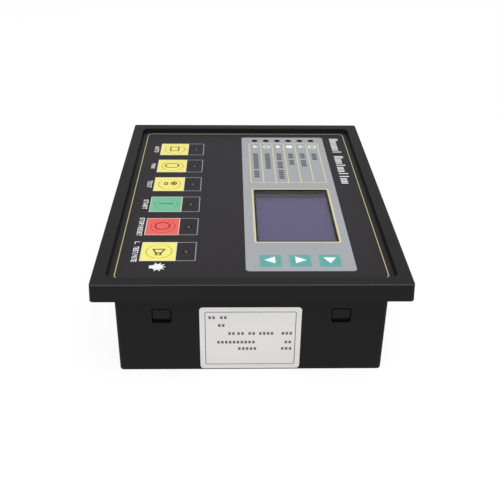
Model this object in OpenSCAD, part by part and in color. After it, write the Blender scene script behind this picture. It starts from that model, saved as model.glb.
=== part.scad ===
// Panel-mounted generating-set controller, lying on its back, in millimetres.
// A moulded bezel with a film overlay and nine keys, a graphic display, two boards,
// four pluggable terminal strips and a rear case that snaps onto the bezel.
// +X is the reading direction, +Y the top of the panel and +Z out of the front.

/* [Front bezel] */
// Width of the bezel at the panel
bezel_w = 200.6; // [190:0.1:215]
// Height of the bezel at the panel
bezel_h = 149.4; // [142:0.1:160]
// Depth of the bezel in front of the panel
bezel_t = 9; // [8:0.5:12]
// Radius of the bezel's corners
bezel_corner = 2; // [1.5:0.5:5]
// Radius of the bezel's front edge
bezel_edge = 0.5; // [0.4:0.1:1]
// Taper of each side from the panel to the front
bezel_taper = 0.45; // [0.2:0.05:0.8]
// Width of the flange past the rear case, left and right
flange_side_w = 9.55; // [9:0.05:12]
// Width of the flange past the rear case, top and bottom
flange_top_w = 9.7; // [9:0.05:12]
// Width of the raised rim
rim_w = 6.4; // [5:0.1:7]
// Drop from the rim to the face of the film
rim_drop = 2.8; // [2:0.1:3.5]
// Radius of the corners of the film recess
recess_corner = 4; // [2:0.5:6]
// Thickness of the panel behind the film
panel_t = 2.2; // [1.8:0.1:3]
// Thickness of the wall outside the gasket groove
flange_wall = 2; // [1.5:0.1:2.5]
// Thickness of the wall between the gasket groove and the rear case
groove_wall = 2; // [1.5:0.1:2.5]
// Depth of the gasket groove
groove_d = 2; // [1:0.1:2.5]
// Thickness of the gasket
gasket_t = 3; // [2.6:0.1:4]

/* [Rear case] */
// Depth of the rear case behind the panel
case_d = 47; // [45:1:60]
// Thickness of the side walls
case_wall = 2.2; // [1.8:0.1:2.8]
// Thickness of the rear wall
case_back = 2.5; // [2:0.1:3.5]
// Radius of the upright corners
case_corner = 2; // [1.5:0.5:4]
// Radius of the inner corners
case_inner_corner = 1; // [0.5:0.1:2]
// Radius of the edge round the rear wall
case_edge = 0.8; // [0.4:0.1:1.2]
// Width of a bracket lug
lug_w = 14; // [10:1:20]
// Height of a bracket lug above the wall
lug_rise = 1.5; // [1:0.1:2]
// Length of a bracket lug towards the front
lug_len = 6; // [4:0.5:8]
// Distance of the bracket lugs from the middle
lug_x = 55; // [40:1:70]
// Distance from the panel to the catch face of a lug
lug_drop = 14; // [10:0.5:20]

/* [Snap joint] */
// Depth of the inner skirt behind the panel
skirt_d = 6; // [4:0.5:8]
// Thickness of the inner skirt
skirt_t = 1.8; // [1.4:0.1:2.2]
// Distance of the snap hooks from the top and bottom of the case
snap_inset = 22; // [18:0.5:26]
// Width of a snap window
snap_window_w = 9.4; // [8:0.1:12]
// Length of a snap window
snap_window_h = 8.2; // [7:0.1:9]
// Distance from the panel to the near edge of a snap window
snap_drop = 10.2; // [9:0.1:12]
// Depth of a hook's face below the outer wall
snap_sink = 0.3; // [0.2:0.1:1]
// Gap between a hook's catch and the edge of its window
snap_play = 0.8; // [0.4:0.1:1]
// Radius of a snap window's corners
snap_window_corner = 1; // [0.5:0.1:2]
// Length of a hook's face
snap_face_l = 5; // [4:0.1:5.5]
// Length of the ramp under a hook's face
snap_ramp_l = 1.6; // [1:0.1:2]
// Reach of a hook's tongue past its window
snap_tongue_reach = 1; // [0.5:0.1:1.5]

/* [Film and display window] */
// Thickness of the film
film_t = 0.25; // [0.18:0.01:0.4]
// Gap round the film in its recess
film_gap = 0.8; // [0.4:0.1:1]
// Width of the display's opening
window_w = 60.6; // [54:0.1:62]
// Height of the display's opening
window_h = 42; // [38:0.1:43.4]
// Distance of the display's middle from the right side of the recess
window_inset_x = 68.35; // [66:0.05:72]
// Distance of the display's middle from the top of the recess
window_inset_y = 43.85; // [42:0.05:48]
// Lap of the film over the display's opening
film_lap = 0.8; // [0:0.1:1.5]
// Radius of the corners of the film's window
film_window_corner = 0.8; // [0.2:0.1:2]
// Thickness of the display's pane
pane_t = 1; // [0.8:0.1:1.2]
// Lap of the pane under the film
pane_lap = 1.7; // [1:0.1:2.5]
// Radius of the pane's corners
pane_corner = 1.5; // [1:0.1:2.5]

/* [Keys] */
// Pitch of the keys in the row
key_pitch = 25.75; // [22:0.05:27]
// Middle of the key row along the width
key_row_x = 0.5; // [-2:0.1:2]
// Distance of the key row from the bottom of the recess
key_row_inset = 22.55; // [20:0.05:25]
// Diameter of an embossed dome in the key row
key_dome_d = 12.5; // [11:0.5:16]
// Diameter of a plunger's head in the key row
key_head_d = 7; // [6:0.1:8]
// Distance of the arrow keys from the right side of the recess
arrow_inset = 19.45; // [18:0.05:21]
// Pitch of the arrow keys
arrow_pitch = 14.45; // [12:0.05:16]
// Diameter of an embossed dome of the arrow keys
arrow_dome_d = 8; // [7:0.1:9.5]
// Diameter of a plunger's head of the arrow keys
arrow_head_d = 5; // [4.4:0.1:5.6]
// Height of the embossed domes
dome_h = 0.5; // [0.4:0.05:0.8]
// Travel of a key
key_travel = 0.35; // [0.2:0.05:0.4]
// Length of a plunger's head
head_len = 2.35; // [1.8:0.05:3]
// Diameter of a plunger's stem
stem_d = 3.5; // [3:0.1:4]
// Length of the stem inside its switch
stem_seat = 0.6; // [0.5:0.05:1]
// Side of a switch housing
switch_w = 6; // [6:0.1:7]
// Height of a switch housing
switch_h = 3.5; // [3.3:0.1:4.3]

/* [Lamps] */
// Diameter of a lamp
lamp_d = 3; // [2.8:0.1:3.4]
// Length of a lamp from its flange to its tip
lamp_len = 5.3; // [5:0.1:6]
// Height of a lamp's tip above the film
lamp_rise = 0.4; // [0:0.1:0.6]
// Width of the lip of a lamp's flange
lamp_flange_lip = 0.4; // [0.3:0.05:0.6]
// Thickness of a lamp's flange
lamp_flange_t = 1; // [0.8:0.1:1.2]
// Width of a lamp's lead
lead_w = 0.5; // [0.4:0.05:0.6]
// Distance between a lamp's leads
lead_pitch = 1.27; // [1.2:0.01:1.5]
// Number of alarm lamps
alarm_count = 6; // [1:1:7]
// Pitch of the alarm lamps
alarm_pitch = 7.33; // [6:0.01:7.6]
// Distance of the alarm lamps from the left side of the recess
alarm_inset = 15.05; // [15:0.05:20]
// Distance of the key lamps from the middle of their keys
key_lamp_rise = 13.3; // [11:0.1:15]
// Overhang of a lamp's spacer tube past the flange
lamp_tube_lip = 0.3; // [0.2:0.05:0.5]
// Wall of a lamp's spacer tube
lamp_tube_t = 0.8; // [0.6:0.1:1]

/* [Display module] */
// Width of the display's sheet frame
lcd_frame_w = 72; // [68:0.5:76]
// Height of the display's sheet frame
lcd_frame_h = 50; // [49:0.5:52]
// Depth of the display's sheet frame
lcd_frame_d = 5.5; // [5:0.1:6]
// Thickness of the frame's sheet
lcd_sheet_t = 0.4; // [0.3:0.05:0.6]
// Radius of the frame's outer corners
lcd_frame_corner = 0.65; // [0.4:0.05:1]
// Margin of the frame's opening round the display's opening
lcd_view_margin = 1.2; // [0.8:0.1:2]
// Thickness of the display's glass
lcd_glass_t = 2.2; // [1.8:0.1:2.6]
// Margin of the display's board past the frame, each way
lcd_board_margin = 6; // [5.5:0.1:6.5]
// Distance of the spacers from the edge of the display's board
lcd_hole_inset = 3.2; // [2.8:0.1:3.4]
// Height of the spacers behind the display's board
lcd_spacer_h = 1.75; // [1.5:0.05:3]
// Diameter of a spacer's stud
lcd_stud_d = 2.6; // [2:0.1:3]
// Length of a spacer's stud past the display's board
lcd_stud_tip = 0.9; // [0.6:0.1:1.2]
// Diameter of a spacer's body
lcd_spacer_d = 4.6; // [4:0.1:5]
// Number of pins in the display's header
lcd_pins = 20; // [16:1:24]
// Pitch of board pins
pin_pitch = 2.54; // [2:0.01:2.54]

/* [Boards] */
// Thickness of the boards
board_t = 1.6; // [1.2:0.1:2]
// Gap between the boards and the bezel's skirt
board_gap = 0.8; // [0.5:0.1:1.5]
// Distance of the pillars from the edges of the boards
pillar_inset = 5; // [4.5:0.1:6]
// Width across flats of a pillar
pillar_af = 5.5; // [5:0.1:6]
// Diameter of the pillars' studs and of the board screws
stud_d = 3; // [2.5:0.1:3]
// Length of thread in the bezel's bosses and in the pillars
thread_len = 5; // [4:0.1:5.5]
// Diameter of the bezel's bosses
boss_d = 7; // [6:0.1:8]
// Diameter of a board screw's head
screw_head_d = 5.5; // [5:0.1:6]
// Height of a board screw's head
screw_head_h = 2; // [1.6:0.1:2.4]
// Width of a board screw's cross slot
cross_w = 0.7; // [0.5:0.1:1]
// Depth of a board screw's cross slot
cross_d = 1; // [0.6:0.1:1.2]
// Length of the header that links the boards
link_len = 26; // [20:1:30]
// Thickness of the header that links the boards
link_t = 5; // [4:0.5:6]
// Length of a relay
relay_l = 20; // [18:0.5:21]
// Width of a relay
relay_w = 10; // [9:0.5:11]
// Height of a relay
relay_h = 10; // [8:0.5:10.3]
// Radius of a relay's corners
relay_corner = 0.5; // [0.3:0.1:1]
// Diameter of a supply capacitor
capacitor_d = 10; // [8:0.5:11]
// Height of a supply capacitor
capacitor_h = 9.5; // [7:0.5:10]
// Diameter of the supply inductor
inductor_d = 12; // [10:0.5:14]
// Height of the supply inductor
inductor_h = 8; // [6:0.5:9]
// Diameter of the supply inductor's winding
winding_d = 9.6; // [8:0.1:9.8]
// Thickness of the supply inductor's flanges
inductor_flange_t = 1.6; // [1:0.1:2]
// Length of a sensing transformer
transformer_l = 14; // [12:0.5:15]
// Width of a sensing transformer
transformer_w = 11; // [10:0.5:13]
// Height of a sensing transformer
transformer_h = 8.5; // [7:0.5:9.5]
// Radius of a sensing transformer's corners
transformer_corner = 1; // [0.5:0.1:2]
// Side of the processor
processor_w = 14; // [12:0.5:16]
// Thickness of the chips
chip_t = 1.4; // [1:0.1:1.6]
// Diameter of the clock's cell
cell_d = 12.5; // [12:0.1:16]
// Thickness of the clock's cell
cell_t = 2; // [1.6:0.1:2.5]

/* [Terminals] */
// Poles of the output strip
output_poles = 12; // [8:1:12]
// Poles of the input strip
input_poles = 10; // [8:1:12]
// Poles of the phase strip
phase_poles = 8; // [6:1:12]
// Poles of the current strip
current_poles = 6; // [4:1:12]
// Pitch of the poles
pole_pitch = 5.08; // [5:0.01:5.08]
// Distance of the terminal rows from the inside of the case
row_inset = 15.8; // [14.5:0.1:18]
// Gap between two strips of a row
row_gap = 4; // [3:0.5:6]
// Depth of the plugs below the rear wall
plug_inset = 0.8; // [0.5:0.1:1.5]
// Width of a plug
plug_w = 14; // [13:0.1:15]
// Length of a plug's body
plug_body_l = 13; // [12:0.1:13.4]
// Width of a plug's nose
nose_w = 8; // [7.5:0.1:8.5]
// Length of a plug's nose
nose_l = 8.4; // [7:0.1:9]
// Bevel round a plug's rear face
plug_bevel = 0.8; // [0.4:0.1:1.2]
// Wall of a header's shroud
shroud_t = 1.4; // [1.2:0.1:1.8]
// Thickness of a header's floor
header_floor = 3.6; // [3:0.1:4]
// Side of a header's pin
pin_w = 1; // [0.8:0.05:1.1]
// Length of a pin past the header's floor
pin_len = 6; // [5:0.1:6.5]
// Diameter of a terminal screw
terminal_screw_d = 3.2; // [2.8:0.1:3.4]
// Length of a terminal screw
terminal_screw_l = 6; // [4:0.1:6.5]
// Depth of a terminal screw below the plug's face
terminal_screw_sink = 1.5; // [1:0.1:2]
// Width of a terminal screw's slot
slot_w = 0.6; // [0.5:0.1:0.8]
// Depth of a terminal screw's slot
slot_d = 0.8; // [0.6:0.1:1]
// Side of a wire entry
wire_w = 3; // [2.6:0.1:3.4]
// Depth of a wire entry
wire_d = 8; // [6:0.1:9]
// Distance of screws and wire entries from a plug's middle
entry_y = 3; // [2.6:0.1:3.2]

/* [Label] */
// Width of the side label
label_w = 49; // [40:0.5:60]
// Height of the side label
label_h = 36.5; // [30:0.5:38]
// Height of the label's lower edge above the rear wall
label_z = 1; // [1:0.1:4]
// Distance of the label's middle from the middle of the case
label_y = -0.5; // [-4:0.1:4]
// Thickness of the label
label_t = 0.12; // [0.08:0.01:0.2]
// Radius of the label's corners
label_corner = 1.8; // [1:0.1:3]

/* [Clearances] */
// Gap between moulded pieces that fit together
fit_gap = 0.25; // [0.15:0.05:0.35]
// Gap between a plunger's stem and its bore, all round
slide_gap = 0.06; // [0.04:0.01:0.1]
// Gap between a plunger's head and the film above it
touch_gap = 0.1; // [0.05:0.05:0.2]
// Gap round a plunger's head in the panel
head_gap = 0.5; // [0.4:0.05:0.6]
// Gap round lamps, studs and screws in their holes
hole_gap = 0.15; // [0.1:0.01:0.2]
// Gap round a plug in the rear wall
plug_gap = 0.5; // [0.4:0.1:0.8]
// Gap between a plug's nose and its header
nose_gap = 0.2; // [0.15:0.05:0.3]

/* [Hidden] */
$fn = 48;
// Overshoot of cutting shapes
cut = 1;
// Keys in the row, one for each body of the record
key_count = 6;

// Heights, from the rear wall at zero to the rim
z_seat = case_d;
z_rim = z_seat + bezel_t;
z_film = z_rim - rim_drop;
z_panel = z_film - film_t;
z_panel_back = z_panel - panel_t;
z_case_top = z_panel_back - fit_gap;
z_groove = z_seat + groove_d;
z_skirt = z_seat - skirt_d;
z_window_top = z_seat - snap_drop;
z_window_low = z_window_top - snap_window_h;
z_lcd = z_panel_back - fit_gap;
z_lcd_board = z_lcd - lcd_frame_d;
z_lcd_board_back = z_lcd_board - board_t;
z_main = z_lcd_board_back - lcd_spacer_h;
z_main_back = z_main - board_t;
z_plug_shoulder = plug_inset + plug_body_l;
z_nose = z_plug_shoulder + nose_l;
z_header_floor = z_nose + nose_gap;
z_io_back = z_header_floor + header_floor;
z_io = z_io_back + board_t;
z_lamp_base = z_film + lamp_rise - lamp_len;
z_head = z_panel + dome_h - touch_gap;
z_switch = z_main + switch_h;
z_stem = z_switch - stem_seat;
z_bore = z_stem - key_travel - touch_gap;

// Outlines
front_w = bezel_w - 2 * bezel_taper;
front_h = bezel_h - 2 * bezel_taper;
recess_w = front_w - 2 * rim_w;
recess_h = front_h - 2 * rim_w;
case_w = bezel_w - 2 * flange_side_w;
case_h = bezel_h - 2 * flange_top_w;
pocket_w = case_w + 2 * fit_gap;
pocket_h = case_h + 2 * fit_gap;
gasket_in_w = pocket_w + 2 * groove_wall;
gasket_in_h = pocket_h + 2 * groove_wall;
gasket_out_w = bezel_w - 2 * flange_wall;
gasket_out_h = bezel_h - 2 * flange_wall;
inner_w = case_w - 2 * case_wall;
inner_h = case_h - 2 * case_wall;
skirt_w = inner_w - 2 * fit_gap;
skirt_h = inner_h - 2 * fit_gap;
board_w = skirt_w - 2 * skirt_t - 2 * board_gap;
board_h = skirt_h - 2 * skirt_t - 2 * board_gap;
pane_w = window_w + 2 * pane_lap;
pane_h = window_h + 2 * pane_lap;
lcd_glass_w = lcd_frame_w - 2 * lcd_sheet_t - 2 * fit_gap;
lcd_glass_h = lcd_frame_h - 2 * lcd_sheet_t - 2 * fit_gap;
lcd_board_w = lcd_frame_w + lcd_board_margin;
lcd_board_h = lcd_frame_h + 2 * lcd_board_margin;
lamp_hole_d = lamp_d + 2 * hole_gap;
lamp_flange_d = lamp_d + 2 * lamp_flange_lip;
lamp_tube_d = lamp_flange_d + 2 * lamp_tube_lip;
stud_hole_d = stud_d + 2 * hole_gap;

// Places on the front, from the sides of the recess
window_x = recess_w / 2 - window_inset_x;
window_y = recess_h / 2 - window_inset_y;
arrow_x = recess_w / 2 - arrow_inset;
alarm_x = alarm_inset - recess_w / 2;
key_row_y = key_row_inset - recess_h / 2;
key_lamp_y = key_row_y + key_lamp_rise;
snap_y = case_h / 2 - snap_inset;
row_y = inner_h / 2 - row_inset;
key_xs = [for (i = [0 : key_count - 1]) key_row_x + (i - (key_count - 1) / 2) * key_pitch];
arrow_ys = [for (i = [0 : 2]) window_y + (1 - i) * arrow_pitch];
key_places = [for (x = key_xs) [x, key_row_y]];
arrow_places = [for (y = arrow_ys) [arrow_x, y]];
alarm_places = [for (i = [0 : alarm_count - 1])
    [alarm_x, window_y + (i - (alarm_count - 1) / 2) * alarm_pitch]];
key_lamp_places = [for (x = key_xs) [x, key_lamp_y]];
pillar_places = [for (sx = [-1, 1], sy = [-1, 1])
    [sx * (board_w / 2 - pillar_inset), sy * (board_h / 2 - pillar_inset)]];
lcd_spacer_places = [for (sx = [-1, 1], sy = [-1, 1])
    [window_x + sx * (lcd_board_w / 2 - lcd_hole_inset),
     window_y + sy * (lcd_board_h / 2 - lcd_hole_inset)]];

// Terminal strips: poles and place, two in the lower row and two in the upper row
function strip_len(poles) = poles * pole_pitch;
function header_len(poles) = strip_len(poles) + 2 * (nose_gap + shroud_t);
function left_strip_x(right_poles) = -(header_len(right_poles) + row_gap) / 2;
function right_strip_x(left_poles) = (header_len(left_poles) + row_gap) / 2;
output_strip = [output_poles, left_strip_x(input_poles), -row_y];
input_strip = [input_poles, right_strip_x(output_poles), -row_y];
phase_strip = [phase_poles, left_strip_x(current_poles), row_y];
current_strip = [current_poles, right_strip_x(phase_poles), row_y];
strips = [output_strip, input_strip, phase_strip, current_strip];
function pole_x(strip, i) = strip[1] + (i - (strip[0] - 1) / 2) * pole_pitch;

// Rear board layout
relay_count = 6;
relay_pitch = 22;
relay_y = -22;
transformer_pitch = 18;
transformer_y = 34;
capacitor_x = -62;
capacitor_y = 16;
capacitor_pitch = 14;
inductor_x = -16;
link_inset = 13.7;
link_x = board_w / 2 - link_inset;

// Front board layout, on its rear face
processor_x = -30;
memory_x = -4;
memory_w = 6;
memory_l = 10;
chip_y = -3;
cell_x = 30;
crystal_x = -48;
crystal_w = 4.6;
crystal_l = 11;
crystal_h = 3.5;
cell_lip = 1;
cell_bed = 0.8;

// Rectangle with round corners, centred
module round_rect(w, h, r) {
    square([w - 2 * r, h], center = true);
    square([w, h - 2 * r], center = true);
    for (sx = [-1, 1], sy = [-1, 1])
        translate([sx * (w / 2 - r), sy * (h / 2 - r)]) circle(r);
}

// Upright plate with round corners between two heights
module slab(w, h, r, z0, z1) {
    translate([0, 0, z0]) linear_extrude(z1 - z0) round_rect(w, h, r);
}

// Plain centred block between two heights
module block(w, h, z0, z1) {
    translate([-w / 2, -h / 2, z0]) cube([w, h, z1 - z0]);
}

// Upright hole or rod between two heights
module rod(d, z0, z1) {
    translate([0, 0, z0]) cylinder(d = d, h = z1 - z0);
}

// Copies of a shape at a list of places
module at(places) {
    for (p = places) translate([p[0], p[1], 0]) children();
}

// Section of the sliver that an edge radius takes off
module edge_section(r) {
    difference() {
        translate([-r, -r]) square(r + cut);
        translate([-r, -r]) circle(r);
    }
}

// Section of what a tapered side with an edge radius takes off, t high
module taper_section(r, taper, t) {
    side_l = sqrt(t * t + taper * taper);
    mid_x = r * (taper - side_l) / t;
    reach = taper + 2 * cut;
    difference() {
        polygon([[mid_x, cut], [reach, cut], [reach, -t - cut], [taper * (t + cut) / t, -t - cut],
            [mid_x + r * t / side_l, r * taper / side_l - r], [mid_x, -r]]);
        translate([mid_x, -r]) circle(r);
    }
}

// A section run round the top outer edge of a slab, as a ring at height zero
module edge_cut(w, h, corner) {
    for (s = [0, 1]) rotate(180 * s) {
        translate([0, h / 2, 0]) rotate([90, 0, 90])
            linear_extrude(w - 2 * corner, center = true) children();
        translate([-w / 2, 0, 0]) rotate([90, 0, 180])
            linear_extrude(h - 2 * corner, center = true) children();
    }
    for (a = [0 : 3]) {
        sx = (a == 0 || a == 3) ? 1 : -1;
        sy = a < 2 ? 1 : -1;
        translate([sx * (w / 2 - corner), sy * (h / 2 - corner), 0]) rotate(90 * a)
            rotate_extrude(angle = 90) translate([corner, 0]) children();
    }
}

// One snap hook on the +X side: a tongue below the skirt with a wedge in the case's window
module snap_hook() {
    tongue_x = skirt_w / 2;
    face_x = case_w / 2 - snap_sink;
    z_tip = z_window_low - snap_tongue_reach;
    z_catch = z_window_top - snap_play;
    z_face_low = z_catch - snap_face_l;
    hook_w = snap_window_w - 4 * fit_gap;
    translate([0, snap_y + hook_w / 2, 0]) rotate([90, 0, 0]) linear_extrude(hook_w)
        polygon([[tongue_x - skirt_t, z_skirt + skirt_t], [tongue_x, z_skirt + skirt_t],
            [tongue_x, z_catch], [face_x, z_catch], [face_x, z_face_low],
            [tongue_x, z_face_low - snap_ramp_l], [tongue_x, z_tip], [tongue_x - skirt_t, z_tip]]);
}

// Frustum of an embossed dome
module dome(d, z) {
    translate([0, 0, z]) cylinder(d1 = d, d2 = d - 2 * dome_h, h = dome_h);
}

module front_bezel() {
    color([0.16, 0.16, 0.165]) difference() {
        union() {
            difference() {
                slab(bezel_w + 2 * cut, bezel_h + 2 * cut, bezel_corner + cut, z_seat, z_rim);
                slab(recess_w, recess_h, recess_corner, z_panel, z_rim + cut);
                slab(pocket_w, pocket_h, case_corner, z_seat - cut, z_panel_back);
                difference() {
                    slab(gasket_out_w, gasket_out_h, bezel_corner, z_seat - cut, z_groove);
                    slab(gasket_in_w, gasket_in_h, case_corner, z_seat - 2 * cut, z_groove + cut);
                }
                translate([0, 0, z_rim]) edge_cut(front_w, front_h, bezel_corner - bezel_taper)
                    taper_section(bezel_edge, bezel_taper, bezel_t);
            }
            difference() {
                slab(skirt_w, skirt_h, case_inner_corner, z_skirt, z_panel_back);
                block(skirt_w - 2 * skirt_t, skirt_h - 2 * skirt_t, z_skirt - cut, z_panel_back + cut);
            }
            for (sx = [0, 1], sy = [0, 1]) mirror([sx, 0, 0]) mirror([0, sy, 0]) snap_hook();
            at(pillar_places) rod(boss_d, z_main, z_panel_back);
        }
        translate([window_x, window_y, 0]) {
            slab(pane_w + 2 * fit_gap, pane_h + 2 * fit_gap, pane_corner, z_panel - pane_t, z_panel + cut);
            block(window_w, window_h, z_panel_back - cut, z_panel);
        }
        at(key_places) rod(key_head_d + 2 * head_gap, z_panel_back - cut, z_panel + cut);
        at(arrow_places) rod(arrow_head_d + 2 * head_gap, z_panel_back - cut, z_panel + cut);
        at(concat(alarm_places, key_lamp_places)) rod(lamp_hole_d, z_panel_back - cut, z_panel + cut);
        at(pillar_places) rod(stud_hole_d, z_main - cut, z_main + thread_len + hole_gap);
    }
}

module overlay_film() {
    color([0.23, 0.22, 0.23]) difference() {
        union() {
            slab(recess_w - 2 * film_gap, recess_h - 2 * film_gap, recess_corner - film_gap, z_panel, z_film);
            at(key_places) dome(key_dome_d, z_film);
            at(arrow_places) dome(arrow_dome_d, z_film);
        }
        at(key_places) dome(key_dome_d - film_t, z_panel);
        at(arrow_places) dome(arrow_dome_d - film_t, z_panel);
        at(concat(alarm_places, key_lamp_places)) rod(lamp_hole_d, z_panel - cut, z_film + cut);
        translate([window_x, window_y, 0])
            slab(window_w - 2 * film_lap, window_h - 2 * film_lap, film_window_corner,
                z_panel - cut, z_film + cut);
    }
}

module display_window() {
    color([0.75, 0.78, 0.8, 0.35]) translate([window_x, window_y, 0])
        slab(pane_w, pane_h, pane_corner, z_panel - pane_t, z_panel);
}

module panel_gasket() {
    color([0.08, 0.08, 0.08]) difference() {
        slab(gasket_out_w, gasket_out_h, bezel_corner, z_groove - gasket_t, z_groove);
        slab(gasket_in_w, gasket_in_h, case_corner, z_groove - gasket_t - cut, z_groove + cut);
    }
}

// One bracket lug on the +Y wall: a ramp from the rear with its catch face to the front
module bracket_lug() {
    z_catch = z_seat - lug_drop;
    translate([lug_x - lug_w / 2, case_h / 2, 0]) rotate([90, 0, 90]) linear_extrude(lug_w)
        polygon([[-case_wall / 2, z_catch - lug_len], [0, z_catch - lug_len],
            [lug_rise, z_catch - lug_len / 3], [lug_rise, z_catch], [-case_wall / 2, z_catch]]);
}

module rear_case() {
    color([0.13, 0.125, 0.13]) difference() {
        union() {
            slab(case_w, case_h, case_corner, 0, z_case_top);
            for (sx = [0, 1], sy = [0, 1]) mirror([sx, 0, 0]) mirror([0, sy, 0]) bracket_lug();
        }
        slab(inner_w, inner_h, case_inner_corner, case_back, z_case_top + cut);
        mirror([0, 0, 1]) edge_cut(case_w, case_h, case_corner) edge_section(case_edge);
        for (sx = [-1, 1], sy = [-1, 1])
            translate([sx * (case_w - case_wall) / 2, sy * snap_y, (z_window_low + z_window_top) / 2])
                rotate([90, 0, 90]) linear_extrude(case_wall + 2 * cut, center = true)
                    round_rect(snap_window_w, snap_window_h, snap_window_corner);
        for (s = strips) translate([s[1], s[2], 0])
            block(strip_len(s[0]) + 2 * plug_gap, plug_w + 2 * plug_gap, -cut, case_back + cut);
    }
}

module side_label() {
    color([0.89, 0.88, 0.88]) translate([case_w / 2, label_y, label_z + label_h / 2]) rotate([90, 0, 90])
        linear_extrude(label_t) round_rect(label_w, label_h, label_corner);
}

module lcd_frame() {
    color([0.3, 0.3, 0.31]) translate([window_x, window_y, 0]) difference() {
        slab(lcd_frame_w, lcd_frame_h, lcd_frame_corner, z_lcd_board, z_lcd);
        block(lcd_frame_w - 2 * lcd_sheet_t, lcd_frame_h - 2 * lcd_sheet_t,
            z_lcd_board - cut, z_lcd - lcd_sheet_t);
        block(window_w + 2 * lcd_view_margin, window_h + 2 * lcd_view_margin,
            z_lcd_board - cut, z_lcd + cut);
    }
}

module lcd_glass() {
    color([0.42, 0.4, 0.52]) translate([window_x, window_y, 0])
        block(lcd_glass_w, lcd_glass_h, z_lcd - lcd_sheet_t - lcd_glass_t, z_lcd - lcd_sheet_t);
}

module lcd_backlight() {
    color([0.92, 0.92, 0.9]) translate([window_x, window_y, 0])
        block(lcd_glass_w, lcd_glass_h, z_lcd_board, z_lcd - lcd_sheet_t - lcd_glass_t);
}

module lcd_board() {
    color([0.1, 0.35, 0.2]) difference() {
        translate([window_x, window_y, 0]) block(lcd_board_w, lcd_board_h, z_lcd_board_back, z_lcd_board);
        at(lcd_spacer_places) rod(lcd_stud_d + 2 * hole_gap, z_lcd_board_back - cut, z_lcd_board + cut);
    }
}

module lcd_pin_header() {
    color([0.1, 0.1, 0.1]) translate([window_x, window_y - lcd_board_h / 2 + lcd_hole_inset, 0])
        block(lcd_pins * pin_pitch, pin_pitch, z_main, z_lcd_board_back);
}

module lcd_spacers() {
    color([0.9, 0.9, 0.88]) at(lcd_spacer_places) {
        rod(lcd_spacer_d, z_main, z_lcd_board_back);
        rod(lcd_stud_d, z_main, z_lcd_board + lcd_stud_tip);
    }
}

module main_board() {
    color([0.1, 0.35, 0.2]) difference() {
        block(board_w, board_h, z_main_back, z_main);
        at(pillar_places) rod(stud_hole_d, z_main_back - cut, z_main + cut);
    }
}

module board_chips() {
    color([0.12, 0.12, 0.12]) {
        translate([processor_x, chip_y, 0])
            block(processor_w, processor_w, z_main_back - chip_t, z_main_back);
        translate([memory_x, chip_y, 0]) block(memory_w, memory_l, z_main_back - chip_t, z_main_back);
    }
}

module cell_holder() {
    color([0.1, 0.1, 0.1]) translate([cell_x, chip_y, 0]) difference() {
        rod(cell_d + 2 * (fit_gap + cell_lip), z_main_back - cell_bed - cell_t, z_main_back);
        rod(cell_d + 2 * fit_gap, z_main_back - cell_bed - cell_t - cut, z_main_back - cell_bed);
    }
}

module clock_cell() {
    color([0.8, 0.8, 0.8]) translate([cell_x, chip_y, 0])
        rod(cell_d, z_main_back - cell_bed - cell_t, z_main_back - cell_bed);
}

module clock_crystal() {
    color([0.75, 0.75, 0.75]) translate([crystal_x, chip_y, 0])
        slab(crystal_w, crystal_l, crystal_w / 2 - fit_gap, z_main_back - crystal_h, z_main_back);
}

module link_header() {
    color([0.1, 0.1, 0.1]) translate([link_x, 0, 0]) block(link_t, link_len, z_io, z_main_back);
}

module board_pillars() {
    pillar_d = pillar_af / cos(30);
    color([0.8, 0.7, 0.4]) at(pillar_places) difference() {
        union() {
            translate([0, 0, z_io]) cylinder(d = pillar_d, h = z_main_back - z_io, $fn = 6);
            rod(stud_d, z_main_back, z_main + thread_len);
        }
        rod(stud_hole_d, z_io - cut, z_io + thread_len + hole_gap);
    }
}

module board_screws() {
    color([0.75, 0.75, 0.77]) at(pillar_places) difference() {
        union() {
            rod(screw_head_d, z_io_back - screw_head_h, z_io_back);
            rod(stud_d, z_io_back, z_io + thread_len);
        }
        for (a = [0, 90]) rotate(a)
            block(stud_d, cross_w, z_io_back - screw_head_h - cut, z_io_back - screw_head_h + cross_d);
    }
}

module io_board() {
    color([0.1, 0.35, 0.2]) difference() {
        block(board_w, board_h, z_io_back, z_io);
        at(pillar_places) rod(stud_hole_d, z_io_back - cut, z_io + cut);
    }
}

module relays() {
    color([0.1, 0.1, 0.11])
        for (i = [0 : relay_count - 1]) translate([(i - (relay_count - 1) / 2) * relay_pitch, relay_y, 0])
            slab(relay_w, relay_l, relay_corner, z_io, z_io + relay_h);
}

module supply_capacitors() {
    color([0.15, 0.17, 0.3])
        for (i = [0 : 2]) translate([capacitor_x + i * capacitor_pitch, capacitor_y, 0])
            rod(capacitor_d, z_io, z_io + capacitor_h);
}

module supply_inductor() {
    color([0.25, 0.2, 0.15]) translate([inductor_x, capacitor_y, 0]) {
        rod(inductor_d, z_io, z_io + inductor_flange_t);
        rod(winding_d, z_io, z_io + inductor_h);
        rod(inductor_d, z_io + inductor_h - inductor_flange_t, z_io + inductor_h);
    }
}

module sense_transformers() {
    color([0.12, 0.2, 0.4])
        for (i = [0 : 2]) translate([current_strip[1] + (i - 1) * transformer_pitch, transformer_y, 0])
            slab(transformer_l, transformer_w, transformer_corner, z_io, z_io + transformer_h);
}

// Shrouded header of one strip, open to the rear
module terminal_header(strip) {
    color([0.15, 0.45, 0.25]) difference() {
        translate([strip[1], strip[2], 0]) difference() {
            block(header_len(strip[0]), nose_w + 2 * (nose_gap + shroud_t),
                z_plug_shoulder + nose_gap, z_io_back);
            block(strip_len(strip[0]) + 2 * nose_gap, nose_w + 2 * nose_gap,
                z_plug_shoulder - cut, z_header_floor);
        }
        for (i = [0 : strip[0] - 1]) translate([pole_x(strip, i), strip[2], 0])
            block(pin_w + hole_gap, pin_w + hole_gap, z_header_floor - cut, z_io_back + cut);
    }
}

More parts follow.
